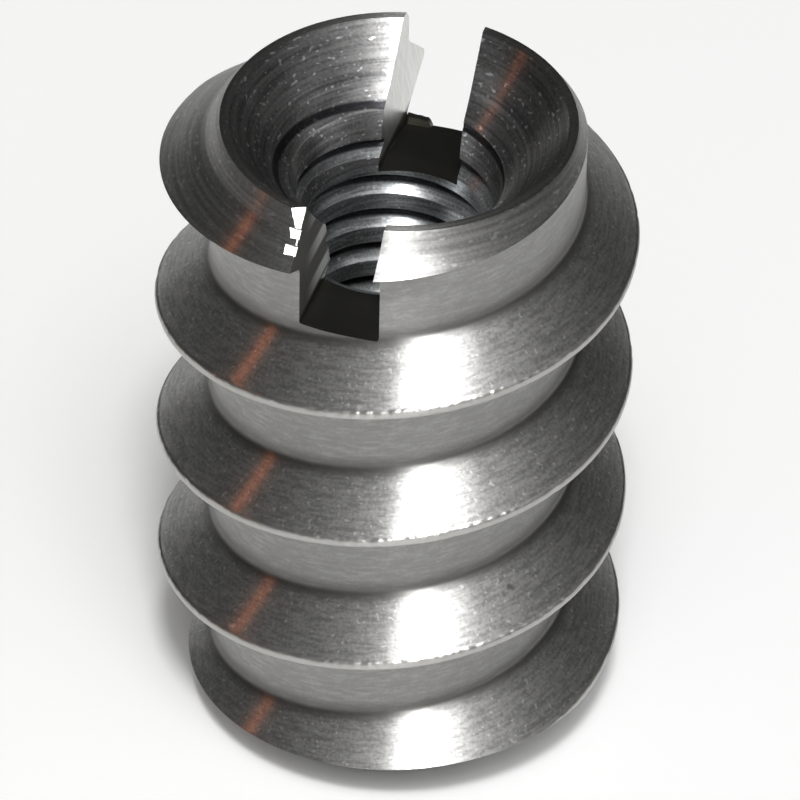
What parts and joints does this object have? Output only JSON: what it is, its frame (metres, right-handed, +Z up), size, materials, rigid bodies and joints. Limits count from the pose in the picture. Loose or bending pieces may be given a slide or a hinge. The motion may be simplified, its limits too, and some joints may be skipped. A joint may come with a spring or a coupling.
{
  "type": "threaded insert",
  "caption": "Slotted threaded insert for wood: a tube with a coarse, sharp outside thread, a fine inside thread, a countersunk mouth and a drive slot.",
  "frame": {"origin": "middle of the lead-in end's face, on the bore's axis, where the part stands", "axes": "+Z up the bore to the slotted end, +Y along the drive slot"},
  "size_m": [0.0142, 0.0142, 0.021],
  "materials": {
    "turned_steel": "bare turned steel, with fine ring marks, bright flanks and small burrs at the slot"
  },
  "bodies": {
    "root": {"threaded_insert": "turned_steel"}
  },
  "joints": []
}
